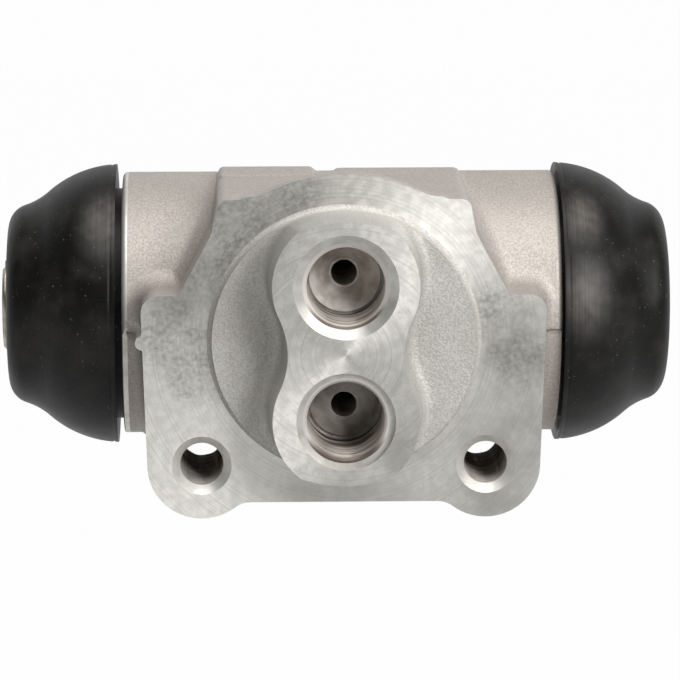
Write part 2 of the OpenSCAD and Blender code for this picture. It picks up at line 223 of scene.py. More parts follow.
def arc(centre, r, start, end, steps=12):
    """Points of an arc between two angles in degrees."""
    turn = np.radians(np.linspace(start, end, steps + 1))
    return np.column_stack([centre[0] + r * np.cos(turn), centre[1] + r * np.sin(turn)])


def rounded(path):
    """Points of a path whose inner corners, each [x, z, radius], are rounded."""
    runs = []
    for before, corner, after in zip(path, path[1:], path[2:]):
        point, r = np.array(corner[:2]), corner[2]
        back = np.array(before[:2]) - point
        ahead = np.array(after[:2]) - point
        back, ahead = back / np.linalg.norm(back), ahead / np.linalg.norm(ahead)
        half = math.acos(back @ ahead) / 2
        middle = (back + ahead) / np.linalg.norm(back + ahead)
        centre = point + middle * r / math.sin(half)
        turn = 180 - 2 * math.degrees(half)
        if back[1] * ahead[0] - back[0] * ahead[1] < 0:
            turn = -turn
        first = point + back * r / math.tan(half) - centre
        start = math.degrees(math.atan2(first[1], first[0]))
        runs.append(arc(centre, r, start, start + turn, steps=8))
    return np.vstack(runs)


def mirrored(right_half):
    return np.vstack([right_half, right_half[::-1] * [-1, 1]])


def flange_outline():
    """The flange seen from the front: a foot fillet, a lug, a wing, a flank and a shoulder a side."""
    foot_z = BOTTOM_Z - FOOT_R
    foot_x = HOLE_X - math.sqrt((LUG_R + FOOT_R) ** 2 - (foot_z - HOLE_Z) ** 2)
    foot_deg = math.degrees(math.atan2(HOLE_Z - foot_z, HOLE_X - foot_x))
    return mirrored(np.vstack([
        arc([foot_x, foot_z], FOOT_R, 90, foot_deg, steps=6),
        arc([HOLE_X, HOLE_Z], LUG_R, foot_deg + 180, 360, steps=24),
        rounded([
            [HOLE_X + LUG_R, HOLE_Z],
            [WING_HALF_W, WING_Z, WING_CORNER_R],
            [FLANK_HALF_W, WING_Z, EDGE_R],
            [WAIST_HALF_W, WAIST_Z, 2 * EDGE_R],
            [SHOULDER_HALF_W, SHOULDER_Z, EDGE_R],
            [0, SHOULDER_Z],
        ]),
    ]))


def ring_outline():
    """The ring where it stands above the shoulders, with a fillet at each foot."""
    blend_z = SHOULDER_Z + FOOT_R
    blend_x = math.sqrt((RING_R + FOOT_R) ** 2 - blend_z**2)
    blend_deg = math.degrees(math.atan2(blend_z, blend_x))
    return mirrored(np.vstack([
        [[blend_x, WAIST_Z]],
        arc([blend_x, blend_z], FOOT_R, 270, 180 + blend_deg, steps=6),
        arc([0, 0], RING_R, blend_deg, 90, steps=24),
    ]))


FLANGE = flange_outline()
RING = ring_outline()


def outline_distance(outline, x, z):
    """Signed distance to a closed outline, negative inside."""
    nearest = np.full(np.broadcast(x, z).shape, np.inf)
    inside = np.zeros(nearest.shape, bool)
    for (x0, z0), (x1, z1) in zip(outline, np.roll(outline, -1, axis=0)):
        dx, dz = x1 - x0, z1 - z0
        length = dx * dx + dz * dz
        if length == 0:
            continue
        along = np.clip(((x - x0) * dx + (z - z0) * dz) / length, 0, 1)
        nearest = np.minimum(nearest, (x - x0 - along * dx) ** 2 + (z - z0 - along * dz) ** 2)
        if dz:
            inside ^= ((z0 > z) != (z1 > z)) & (x < x0 + (z - z0) * dx / dz)
    return np.where(inside, -1, 1) * np.sqrt(nearest)


def round_union(a, b, r):
    """Two solids as one, with a fillet of radius r where they meet."""
    return np.maximum(r, np.minimum(a, b)) - np.hypot(np.maximum(r - a, 0), np.maximum(r - b, 0))


def round_meet(a, b, r):
    """What two solids share, with its edge rounded to radius r."""
    return np.minimum(-r, np.maximum(a, b)) + np.hypot(np.maximum(r + a, 0), np.maximum(r + b, 0))


def pad_distance(x, y, z, pad):
    left, right, top = pad
    ends = np.abs(x - (left + right) / 2) - (right - left) / 2
    edges = np.abs(y - AXIS_Y + PAD_W / 2) - PAD_W / 2
    sides = round_meet(round_meet(ends, z - top, PAD_END_R), edges, PAD_EDGE_R)
    return np.maximum(sides, -z)


def boss_distance(x, y, z):
    """Two lobes with a waist between them, drafted towards the face."""
    x, z = np.abs(x), np.abs(z)
    lobe = np.hypot(x, z - PORT_Z) - LOBE_R
    waist = WAIST_R - np.hypot(x - WAIST_X, z)
    plan = np.where(z < PORT_Z * (1 - x / WAIST_X), waist, lobe)
    return np.maximum(plan - DRAFT * (y + BOSS_H), y - ALLOWANCE)


def casting_distance(x, y, z):
    """Signed distance to the casting before it is machined, negative inside."""
    barrel = np.hypot(y - AXIS_Y, z) - BARREL_R + np.where(z < PARTING_Z, PARTING_STEP, 0)
    depth = np.minimum(y - LUG_DEPTH, np.maximum(y - AXIS_Y, -z))
    flange = round_meet(outline_distance(FLANGE, x, z), depth, BACK_EDGE_R)
    fall = SHOULDER_FALL * np.clip((y - AXIS_Y + PAD_W) / PAD_W, 0, 1)
    flange = np.maximum(flange, z + fall - SHOULDER_Z)
    flash = np.maximum(np.hypot(x - FLASH_X, z - PARTING_Z) - FLASH_R, y - LUG_DEPTH + FLASH_SETBACK)
    fillet = CAST_FILLET * np.clip((SHOULDER_Z - z) / FILLET_RUNOUT, FILLET_LEAST, 1)
    body = round_union(barrel, np.minimum(flange, flash), fillet)
    lip = round_meet(outline_distance(RING, x, z), y - RING_T, BACK_EDGE_R / 2)
    body = round_union(body, lip, EDGE_R)
    for pad in PADS:
        body = round_union(body, pad_distance(x, y, z, pad), PAD_EDGE_R)
    spigot = np.hypot(x, z) - SPIGOT_R - SPIGOT_FILLET - ALLOWANCE
    spigot = np.maximum(spigot, np.maximum(-y - SPIGOT_H, y - ALLOWANCE))
    body = np.minimum(np.maximum(body, -y - ALLOWANCE), spigot)
    body = round_union(body, boss_distance(x, y, z), BOSS_FILLET)
    return np.maximum(body, np.maximum(np.abs(x) - END_X, -y - BOSS_H) - ALLOWANCE)


def surface_points(values, origin):
    """Points and quads of the surface where a grid of distances changes sign, one point in each cell."""
    inside = values < 0
    shape = np.array(values.shape) - 1
    corners = list(itertools.product((0, 1), repeat=3))

    def corner(array, offset):
        return array[tuple(slice(o, o + n) for o, n in zip(offset, shape))]

    filled = sum(corner(inside, c).astype(np.int8) for c in corners)
    cells = (filled > 0) & (filled < len(corners))
    where = np.argwhere(cells)
    index = np.full(shape, -1)
    index[cells] = np.arange(len(where))
    total, count = np.zeros((len(where), 3)), np.zeros(len(where))
    for start in corners:
        for axis in range(3):
            if start[axis]:
                continue
            end = tuple(1 if k == axis else s for k, s in enumerate(start))
            a, b = corner(values, start)[cells], corner(values, end)[cells]
            crosses = (a < 0) != (b < 0)
            share = np.where(crosses, a / np.where(crosses, a - b, 1), 0)
            point = np.array(start) + share[:, None] * (np.array(end) - start)
            total += np.where(crosses[:, None], point, 0)
            count += crosses
    points = origin + (where + total / count[:, None]) * CELL
    quads = []
    for axis in range(3):
        u, v = np.eye(3, dtype=int)[[(axis + 1) % 3, (axis + 2) % 3]]
        low = [slice(1, n) for n in shape]
        low[axis] = slice(0, shape[axis])
        high = list(low)
        high[axis] = slice(1, shape[axis] + 1)
        starts, ends = inside[tuple(low)], inside[tuple(high)]
        for leaves in (True, False):
            cell = np.argwhere((starts & ~ends) if leaves else (ends & ~starts)) + 1
            cell[:, axis] -= 1
            ring = [cell, cell - u, cell - u - v, cell - v]
            quad = np.column_stack([index[tuple(c.T)] for c in ring])
            quads.append(quad if leaves else quad[:, ::-1])
    return points, np.vstack(quads).tolist()


def settle(points, rounds=3, step=0.01):
    """Points moved along the distance's slope until they lie on the casting's surface."""
    for _ in range(rounds):
        x, y, z = points.T
        value = casting_distance(x, y, z)
        slope = np.column_stack([
            casting_distance(x + step, y, z) - value,
            casting_distance(x, y + step, z) - value,
            casting_distance(x, y, z + step) - value,
        ]) / step
        steep = np.maximum((slope**2).sum(1), LEAST_SLOPE)
        move = slope * (value / steep)[:, None]
        points = points - np.clip(move, -CELL / 2, CELL / 2)
    return points


def new_object(name, points, faces):
    """A mesh object from points in millimetres."""
    mesh = bpy.data.meshes.new(name)
    mesh.from_pydata(np.asarray(points) * MM, [], faces)
    mesh.validate()
    obj = bpy.data.objects.new(name, mesh)
    bpy.context.scene.collection.objects.link(obj)
    return obj


def revolve(name, rows, place, steps, closed=False):
    """A lathe-turned solid. Each row is [radius, height, share of the thread's depth] at that height.

    place(radius, height, turn) gives the points of a row, and an open profile starts and ends on the axis.
    """
    rows = np.array(rows, float)
    turn = np.arange(steps) * 2 * math.pi / steps
    points, rings = [], []
    for r, h, thread in rows:
        if r == 0:
            rings.append([len(points)] * steps)
            points.append(np.ravel(place(np.zeros(1), h, np.zeros(1))))
            continue
        phase = (h / PITCH - turn / (2 * math.pi)) % 1
        radius = r + thread * THREAD_DEPTH * (1 - np.abs(2 * phase - 1))
        rings.append(list(range(len(points), len(points) + steps)))
        points.extend(np.column_stack(place(radius, h, turn)))
    pairs = list(zip(rings, rings[1:] + rings[:1] if closed else rings[1:]))
    faces = []
    for low, high in pairs:
        for k in range(steps):
            n = (k + 1) % steps
            face = [low[k], low[n], high[n], high[k]]
            faces.append([v for i, v in enumerate(face) if v not in face[:i]])
    obj = new_object(name, points, faces)
    face_outwards(obj)
    return obj


def face_outwards(obj):
    edit = bmesh.new()
    edit.from_mesh(obj.data)
    bmesh.ops.recalc_face_normals(edit, faces=edit.faces)
    edit.to_mesh(obj.data)
    edit.free()


def smooth(obj, finish):
    """Gives a piece its finish, and smooth shading with crisp edges."""
    obj.data.materials.append(finish)
    obj.data.shade_smooth()
    obj.data.set_sharp_from_angle(angle=SHARP)


def along_y(x0, z0):
    """Placing of a lathe profile whose heights run along +Y, on the axis through x0 and z0."""

    def place(r, h, turn):
        return x0 + r * np.cos(turn), np.full(len(r), h), z0 + r * np.sin(turn)

    return place


def along_bore(side):
    """Placing of a lathe profile whose heights run out of the barrel on one side."""

    def place(r, h, turn):
        return np.full(len(r), side * h), AXIS_Y + r * np.cos(turn), r * np.sin(turn)

    return place


def threaded(r, start, end):
    """Rows of a threaded wall between two heights, with the thread fading out at its ends."""
    count = max(2, round(abs(end - start) / PITCH * ROWS_PER_PITCH))
    heights = np.linspace(start, end, count + 1)
    fade = np.minimum(np.arange(count + 1), np.arange(count + 1)[::-1]) / ROWS_PER_PITCH
    return [[r, h, f] for h, f in zip(heights, np.clip(fade, 0, 1))]


def port_tool(name, z, mouth, seat_r, seat_depth):
    """A port: its mouth, a threaded wall, a sunk or raised seat cone and the passage to the bore."""
    seat = -BOSS_H + PORT_DEPTH
    lip = mouth[-1][1]
    rows = [[0, -BOSS_H - MOUTH_REACH, 0], *mouth]
    edge = seat - seat_depth
    groove = edge + SEAT_GROOVE
    rows += threaded(PORT_R, lip + PITCH / ROWS_PER_PITCH, edge)
    rows += [[PORT_R, groove, 0], [seat_r, groove, 0], [seat_r, edge, 0]]
    rows += [[PASSAGE_R + PASSAGE_LIP, seat, 0], [PASSAGE_R, seat, 0]]
    rows += [[PASSAGE_R, AXIS_Y, 0], [0, AXIS_Y, 0]]
    return revolve(name, rows, along_y(0, z), PORT_STEPS)


def machining_tools():
    """Solids that the casting loses when it is machined."""
    out = -BOSS_H - TOOL_REACH
    wide = 2 * RING_R
    foot = arc([SPIGOT_R + SPIGOT_FILLET, -SPIGOT_FILLET], SPIGOT_FILLET, 90, 180, steps=6)
    yield revolve("facing", [
        [SPIGOT_R, out, 0], [wide, out, 0], [wide, 0, 0], *[[r, h, 0] for r, h in foot],
    ], along_y(0, 0), 2 * LATHE_STEPS, closed=True)
    yield revolve("boss_facing", [
        [0, out - TOOL_STEP, 0], [wide, out - TOOL_STEP, 0], [wide, -BOSS_H, 0], [0, -BOSS_H, 0],
    ], along_y(0, 0), PORT_STEPS)
    root_r = PORT_R + THREAD_DEPTH
    root_y = -BOSS_H + BLEED_SINK_DEPTH * (BLEED_SINK_R - root_r) / (BLEED_SINK_R - PORT_R)
    yield port_tool("bleed_port", PORT_Z, [
        [BLEED_SINK_R, -BOSS_H - MOUTH_REACH, 0], [BLEED_SINK_R, -BOSS_H, 0], [root_r, root_y, 0],
        [PORT_R, -BOSS_H + BLEED_SINK_DEPTH, 0],
    ], BLEED_SEAT_R, BLEED_SEAT_DEPTH)
    floor = -BOSS_H + INLET_FACE_DEPTH
    yield port_tool("inlet_port", -PORT_Z, [
        [INLET_FACE_R, -BOSS_H - MOUTH_REACH, 0], [INLET_FACE_R, floor, 0], [root_r, floor, 0],
        [PORT_R + INLET_EDGE, floor, 0], [PORT_R, floor + INLET_EDGE, 0],
    ], INLET_SEAT_R, -INLET_SEAT_RISE)
    for side in (LEFT, RIGHT):
        sink = HOLE_SINK_R - SCREW_HOLE_R
        rows = [[0, -MOUTH_REACH, 0], [HOLE_SINK_R, -MOUTH_REACH, 0]]
        rows += [[HOLE_SINK_R, 0, 0], [SCREW_HOLE_R, sink, 0]]
        rows += threaded(SCREW_HOLE_R, sink + PITCH / ROWS_PER_PITCH, HOLE_DEPTH - THREAD_RUNOUT)
        rows += [[SCREW_HOLE_R, HOLE_DEPTH, 0], [0, HOLE_DEPTH, 0]]
        yield revolve("screw_hole", rows, along_y(side * HOLE_X, HOLE_Z), PORT_STEPS)
    recess = END_X - END_RECESS_DEPTH
    edge = arc([BARREL_R - END_ROUND, END_X - END_ROUND], END_ROUND, 90, 20, steps=5)
    lead = edge[-1] + 2 * (edge[-1] - edge[-2])
    for side in (LEFT, RIGHT):
        yield revolve("bore", [
            [0, -TOOL_OVERLAP, 0], [BORE_R, -TOOL_OVERLAP, 0],
            [BORE_R, recess - BORE_CHAMFER, 0], [BORE_R + BORE_CHAMFER, recess, 0],
            [END_RECESS_R, recess, 0], [END_RECESS_R, END_X, 0], *[[r, h, 0] for r, h in [*edge, lead]],
            [lead[0], END_X + TOOL_REACH, 0], [0, END_X + TOOL_REACH, 0],
        ], along_bore(side), LATHE_STEPS)


def cut(obj, tool):
    """Takes the tool's solid away from the object's mesh, and the tool from the scene."""
    modifier = obj.modifiers.new("cut", "BOOLEAN")
    modifier.operation = "DIFFERENCE"
    modifier.solver = "MANIFOLD"
    modifier.object = tool
    result = bpy.data.meshes.new_from_object(obj.evaluated_get(bpy.context.evaluated_depsgraph_get()))
    obj.modifiers.clear()
    obj.data = result
    bpy.data.objects.remove(tool)


def body_finish(x, y, z):
    """Which of the body's finishes a face's middle has."""
    radius = math.hypot(x, z)
    from_axis = math.hypot(y - AXIS_Y, z)
    from_port = math.hypot(x, abs(z) - PORT_Z)
    if from_port < BLEED_SINK_R + TOUCH and -BOSS_H + TOUCH < y < AXIS_Y - BORE_R - TOUCH:
        if from_port < PORT_R - TOUCH:
            return "seated"
        return "drilled" if from_port < PORT_R + THREAD_DEPTH - TOUCH else "bored"
    if math.hypot(abs(x) - HOLE_X, z - HOLE_Z) < HOLE_SINK_R + TOUCH and TOUCH < y < HOLE_DEPTH + TOUCH:
        return "turned" if y < HOLE_SINK_R - SCREW_HOLE_R else "drilled"
    if y < -BOSS_H + TOUCH or abs(y) < TOUCH and radius > SPIGOT_R - TOUCH:
        return "faced"
    if x < END_ROUND - END_X or from_axis < END_RECESS_R + TOUCH or abs(x) > END_X - TOUCH:
        return "turned"
    return "cast"


def make_body(finishes):
    """The casting, machined, with a finish on each of its faces."""
    low = np.array([-END_X - GRID_MARGIN, -BOSS_H - GRID_MARGIN, BOTTOM_Z - LUG_R / 2])
    high = np.array([END_X, AXIS_Y + BARREL_R, RING_R]) + GRID_MARGIN
    axes = [np.arange(a, b, CELL) for a, b in zip(low, high)]
    values = casting_distance(*np.meshgrid(*axes, indexing="ij", sparse=True))
    values = np.pad(values, 1, constant_values=CELL)
    points, quads = surface_points(values, low - CELL)
    body = new_object("cast_body", settle(points), quads)
    for tool in machining_tools():
        cut(body, tool)
    mesh = body.data
    mesh.materials.clear()
    names = list(finishes)
    for name in names:
        mesh.materials.append(finishes[name])
    for face in mesh.polygons:
        face.material_index = names.index(body_finish(*(face.center / MM)))
    mesh.shade_smooth()
    mesh.set_sharp_from_angle(angle=SHARP)
    sharpen_borders(mesh)
    return body


def sharpen_borders(mesh):
    """Makes the edges between two finishes crisp."""
    edit = bmesh.new()
    edit.from_mesh(mesh)
    for edge in edit.edges:
        if len({face.material_index for face in edge.link_faces}) > 1:
            edge.smooth = False
    edit.to_mesh(mesh)
    edit.free()


def boot_section(depth, from_deg):
    """The boot's dome, neck and nose as [radius, distance from the rim], moved inwards by a depth."""

    def ray(deg):
        return np.array([math.cos(math.radians(deg)), math.sin(math.radians(deg))])

    dome = np.array([RIM_R, 0]) - BOOT_DOME_R * ray(RIM_DEG)
    neck = dome + (BOOT_DOME_R + BOOT_NECK_R) * ray(DOME_DEG)
    nose = neck - (BOOT_NECK_R + BOOT_NOSE_R) * ray(NECK_DEG)
    return np.vstack([
        arc(dome, BOOT_DOME_R - depth, from_deg, DOME_DEG, steps=72),
        arc(neck, BOOT_NECK_R + depth, 180 + DOME_DEG, 180 + NECK_DEG, steps=18)[1:],
        arc(nose, BOOT_NOSE_R - depth, NECK_DEG, END_DEG, steps=24)[1:],
    ])


def make_boot(side, name, finish):
    """A dust boot: rim, dome, neck and nose outside, and the collar that plugs into the barrel."""
    outer = boot_section(0, RIM_DEG)
    outer[:, 0] -= RIM_GROOVE_DEPTH * np.exp(-(((outer[:, 1] - RIM_GROOVE_AT) / RIM_GROOVE_W) ** 2))
    inner = boot_section(BOOT_WALL, ROOT_DEG)[::-1]
    lip = outer[-1, 1] - BOOT_DRAW[side]
    lip_inside = lip - BOOT_WALL
    collar_in = COLLAR_R - COLLAR_T
    lead = COLLAR_T / 4
    section = np.vstack([
        outer,
        [[LIP_HOLE_R + LIP_EDGE, lip], [LIP_HOLE_R, lip - LIP_EDGE], [LIP_HOLE_R, lip_inside]],
        inner,
        [[collar_in, RIM_T], [collar_in, -COLLAR_LEN], [COLLAR_R - lead, -COLLAR_LEN]],
        [[COLLAR_R, lead - COLLAR_LEN], [COLLAR_R, RIM_T], [RIM_R - RIM_T, 0]],
    ])
    rows = [[r, RIM_X[side] + t, 0] for r, t in section]
    boot = revolve(name, rows, along_bore(side), LATHE_STEPS, closed=True)
    smooth(boot, finish)
    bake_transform(boot)
    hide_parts(name)
    return boot


def make_spring_half(side, name, finish):
    """Half of the spring, from the middle of the bore to one piston, with a closed turn at its end."""
    low, high = (corner[0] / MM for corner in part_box("return_spring"))
    middle = (low + high) / 2
    reach = (high - low) / 2 - WIRE_R
    half_turns = ACTIVE_TURNS / 2 + 1
    turns = np.linspace(0, half_turns, WIRE_ROWS)
    active = half_turns - 1
    closed_turn = 2 * WIRE_R
    climb = np.where(
        turns < active,
        turns / active * (reach - closed_turn),
        reach - closed_turn * (half_turns - turns),
    )
    angle = 2 * math.pi * turns
    points = []
    for along, a in zip(climb, angle):
        for k in range(WIRE_SIDES):
            b = 2 * math.pi * k / WIRE_SIDES
            r = SPRING_R + WIRE_R * math.cos(b)
            x = middle + side * (along + WIRE_R * math.sin(b))
            points.append([x, AXIS_Y + r * math.cos(a), side * r * math.sin(a)])
    faces = []
    for i, k in itertools.product(range(WIRE_ROWS - 1), range(WIRE_SIDES)):
        a, b = i * WIRE_SIDES + k, i * WIRE_SIDES + (k + 1) % WIRE_SIDES
        faces.append([a, b, b + WIRE_SIDES, a + WIRE_SIDES])
    last = (WIRE_ROWS - 1) * WIRE_SIDES
    faces += [list(range(WIRE_SIDES)), list(range(last, last + WIRE_SIDES))]
    half = new_object(name, points, faces)
    face_outwards(half)
    smooth(half, finish)
    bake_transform(half)
    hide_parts("return_spring")
    return half


def srgb(red, green, blue):
    """A colour written as 0 to 255 in sRGB, as the linear colour that shaders take."""

    def linear(value):
        share = value / 255
        return share / 12.92 if share <= 0.04045 else ((share + 0.055) / 1.055) ** 2.4

    return (linear(red), linear(green), linear(blue), 1)


class Finish:
    """A material's node tree, with short ways to add nodes to it."""

    def __init__(self, name):
        self.material = bpy.data.materials.new(name)
        self.material.use_nodes = True
        self.tree = self.material.node_tree
        self.tree.nodes.clear()
        self.place = self.add("ShaderNodeTexCoord").outputs["Object"]
        split = self.add("ShaderNodeSeparateXYZ", {"Vector": self.place})
        self.x, self.y, self.z = split.outputs

    def add(self, kind, inputs=None, **settings):
        node = self.tree.nodes.new(kind)
        for key, value in settings.items():
            setattr(node, key, value)
        for key, value in (inputs or {}).items():
            if isinstance(value, bpy.types.NodeSocket):
                self.tree.links.new(value, node.inputs[key])
            else:
                node.inputs[key].default_value = value
        return node

    def vector(self, x, y, z):
        return self.add("ShaderNodeCombineXYZ", {"X": x, "Y": y, "Z": z}).outputs["Vector"]

    def math(self, operation, a, b=0.0):
        return self.add("ShaderNodeMath", {0: a, 1: b}, operation=operation).outputs["Value"]

    def hypot(self, a, b):
        return self.math("SQRT", self.math("ADD", self.math("MULTIPLY", a, a), self.math("MULTIPLY", b, b)))

    def from_port(self):
        """Height above the axis of the nearer port."""
        axis = self.math("MULTIPLY", self.math("SIGN", self.z), PORT_Z * MM)
        return self.math("SUBTRACT", self.z, axis)

    def noise(self, size, detail=2.0, vector=None):
        """Noise from 0 to 1 with features of a size in millimetres."""
        inputs = {"Vector": vector or self.place, "Scale": 1 / (size * MM), "Detail": detail}
        return self.add("ShaderNodeTexNoise", inputs).outputs["Fac"]

    def spread(self, value, low, high, start=0.0, end=1.0):
        """A value eased from start to end while it runs from low to high."""
        inputs = {"Value": value, "From Min": low, "From Max": high, "To Min": start, "To Max": end}
        return self.add("ShaderNodeMapRange", inputs, interpolation_type="SMOOTHSTEP").outputs["Result"]

    def blend(self, share, a, b):
        """A colour that goes from a to b with a share."""
        return self.add("ShaderNodeMix", {0: share, 6: a, 7: b}, data_type="RGBA").outputs[2]

    def bump(self, height, depth, normal=None):
        """A normal for a height from 0 to 1 that stands for a depth in millimetres."""
        inputs = {"Height": height, "Distance": depth * MM}
        if normal:
            inputs["Normal"] = normal
        return self.add("ShaderNodeBump", inputs).outputs["Normal"]

    def surface(self, **inputs):
        """The finished material, from the principled shader's inputs."""
        titles = [key.replace("_", " ").title().replace("Ior", "IOR") for key in inputs]
        shader = self.add("ShaderNodeBsdfPrincipled", dict(zip(titles, inputs.values())))
        self.add("ShaderNodeOutputMaterial", {"Surface": shader.outputs[0]})
        return self.material


def cast_aluminium():
    """Sand-grained aluminium, a little warm, greyer near the mounting face, with a painted shadow line
    along the barrel's parting step.
    """
    f = Finish("cast_aluminium")
    grain = f.noise(0.22, 3)
    share = f.spread(grain, 0.36, 0.64)
    cloud = f.spread(f.noise(5, 2), 0.35, 0.7, 0, 0.3)
    warm = f.blend(share, srgb(154, 147, 140), srgb(174, 167, 160))
    grey = f.blend(share, srgb(168, 166, 161), srgb(188, 186, 180))
    tone = f.blend(f.spread(f.y, -0.3 * MM, 0.3 * MM), grey, warm)
    # The dark line along the parting step on the barrel is painted shadow, standing in for the shade of the
    # step.
    from_parting = f.math("ABSOLUTE", f.math("SUBTRACT", f.z, PARTING_Z * MM))
    on_barrel = f.spread(f.y, 5 * MM, 6 * MM, 0, 0.7)
    line = f.math("MULTIPLY", f.spread(from_parting, 0.14 * MM, 0.05 * MM), on_barrel)
    tone = f.blend(line, tone, srgb(70, 66, 62))
    return f.surface(
        base_color=f.blend(cloud, tone, srgb(156, 150, 144)),
        metallic=0.4,
        roughness=f.spread(grain, 0.3, 0.7, 0.6, 0.52),
        normal=f.bump(f.math("MULTIPLY", grain, f.spread(f.y, 0, 2 * MM, 5, 1)), 0.013),
    )


def faced_aluminium():
    """The turned mounting face and boss face, with a circular lay, rings, pits, stains, and areas darkened
    smoothly as painted shade.
    """
    f = Finish("faced_aluminium")
    radius = f.hypot(f.x, f.z)
    wander = f.math("MULTIPLY", f.noise(9, 1), 0.1 * MM)
    rings = f.noise(0.24, 3, f.vector(f.math("ADD", radius, wander), f.y, 0.0))
    smear = f.noise(1.1, 5)
    share = f.spread(smear, 0.38, 0.64)
    boss = f.blend(share, srgb(199, 197, 191), srgb(212, 210, 204))
    flange = f.blend(share, srgb(204, 202, 196), srgb(216, 214, 208))
    tone = f.blend(f.spread(f.y, -2 * MM, -1 * MM), boss, flange)
    tone = f.blend(f.spread(rings, 0.45, 0.7, 0, 0.5), tone, srgb(172, 170, 164))
    cloud = f.spread(f.noise(3.5, 3), 0.3, 0.65, 0.4, 1)
    blotch = f.spread(f.noise(0.6, 5), 0.32, 0.7, 0.2, 0.85)
    # Painted shade: the face is darkened smoothly over these areas.
    dim = f.math("MULTIPLY", cloud, places(f, PAINTED_SHADE_AREAS))
    tone = f.blend(f.math("MULTIPLY", dim, 0.6), tone, srgb(158, 158, 152))
    stain = f.math("MULTIPLY", f.math("MULTIPLY", blotch, cloud), places(f, STAINS))
    tone = f.blend(stain, tone, srgb(140, 139, 135))
    pits = f.spread(f.noise(0.3, 4), 0.56, 0.74, 0, 0.26)
    tone = f.blend(pits, tone, srgb(140, 139, 132))
    return f.surface(
        base_color=tone,
        metallic=0.93,
        roughness=f.spread(smear, 0.3, 0.7, 0.4, 0.46),
        anisotropic=0.6,
        tangent=f.vector(f.x, 0.0, f.z),
        normal=f.bump(rings, 0.007),
    )


def places(f, areas):
    """How far a point on the mounting face is inside one of the areas."""
    total = None
    for x, z, reach in areas:
        dx = f.math("SUBTRACT", f.x, x * MM)
        dz = f.math("SUBTRACT", f.z, z * MM)
        share = f.spread(f.hypot(dx, dz), reach * MM, reach * MM / 3)
        total = share if total is None else f.math("MAXIMUM", total, share)
    return total


def turned_aluminium():
    """The bore, the barrel's ends and the mouths of the mounting holes, bright, with fine tool lines."""
    f = Finish("turned_aluminium")
    lines = f.noise(0.12, 2, f.vector(f.math("MULTIPLY", f.x, 0.02), f.y, f.math("MULTIPLY", f.z, 0.02)))
    smear = f.noise(1.2, 3)
    return f.surface(
        base_color=f.blend(f.spread(smear, 0.4, 0.7), srgb(205, 203, 197), srgb(191, 189, 183)),
        metallic=0.7,
        roughness=f.spread(smear, 0.3, 0.7, 0.44, 0.52),
        normal=f.bump(lines, 0.006),
    )


def bored_aluminium(name, bright, dim, metallic):
    """The mouths and seats of the ports, smooth, with a circular lay about each port's axis."""
    f = Finish(name)
    dz = f.from_port()
    radius = f.hypot(f.x, dz)
    lines = f.noise(0.12, 2, f.vector(radius, 0.0, 0.0))
    smear = f.spread(f.noise(1.6, 2), 0.35, 0.7)
    return f.surface(
        base_color=f.blend(smear, bright, dim),
        metallic=metallic,
        roughness=0.42,
        anisotropic=0.6,
        tangent=f.vector(f.x, f.math("MULTIPLY", radius, -1.0), dz),
        normal=f.bump(lines, 0.003),
    )


def drilled_aluminium():
    """The matt threads inside the ports and mounting holes, a little brown from oil, with painted shade in
    the thread roots, strongest on the ports' lower walls.
    """
    f = Finish("drilled_aluminium")
    smear = f.noise(1.4, 2)
    dz = f.from_port()
    in_port = f.spread(f.math("ABSOLUTE", f.x), 12 * MM, 8 * MM, 0.4, 1)
    below = f.math("MULTIPLY", f.spread(dz, -1.5 * MM, -4 * MM), in_port)
    phase = f.math("FRACT", f.math("ADD", f.math("DIVIDE", f.y, PITCH * MM), 0.25))
    from_root = f.math("ABSOLUTE", f.math("SUBTRACT", phase, 0.5))
    # Painted shade: the thread roots are darkened, strongest on the lower walls of the ports and fainter in
    # the mounting holes.
    root_shade = f.math("MULTIPLY", f.spread(from_root, 0.3, 0.12), below)
    oiled = f.noise(1.5, 3, f.vector(0.0, f.y, 0.0))
    bands = f.math("MULTIPLY", f.spread(oiled, 0.42, 0.56, 0, 0.9), below)
    crest = f.blend(bands, srgb(198, 193, 186), srgb(108, 93, 81))
    return f.surface(
        base_color=f.blend(root_shade, crest, srgb(84, 74, 66)),
        metallic=0.35,
        roughness=f.spread(smear, 0.3, 0.7, 0.36, 0.46),
        normal=f.bump(f.noise(0.2, 2), 0.003),
    )


def piston_aluminium():
    """Turned and anodised piston metal, with rings about the bore axis."""
    f = Finish("piston_aluminium")
    lines = f.noise(0.15, 2, f.vector(f.x, f.math("MULTIPLY", f.y, 0.05), f.math("MULTIPLY", f.z, 0.05)))
    smear = f.noise(2, 3)
    return f.surface(
        base_color=f.blend(f.spread(smear, 0.35, 0.7), srgb(166, 158, 147), srgb(142, 134, 124)),
        metallic=1.0,
        roughness=f.spread(smear, 0.3, 0.7, 0.3, 0.42),
        normal=f.bump(lines, 0.006),
    )


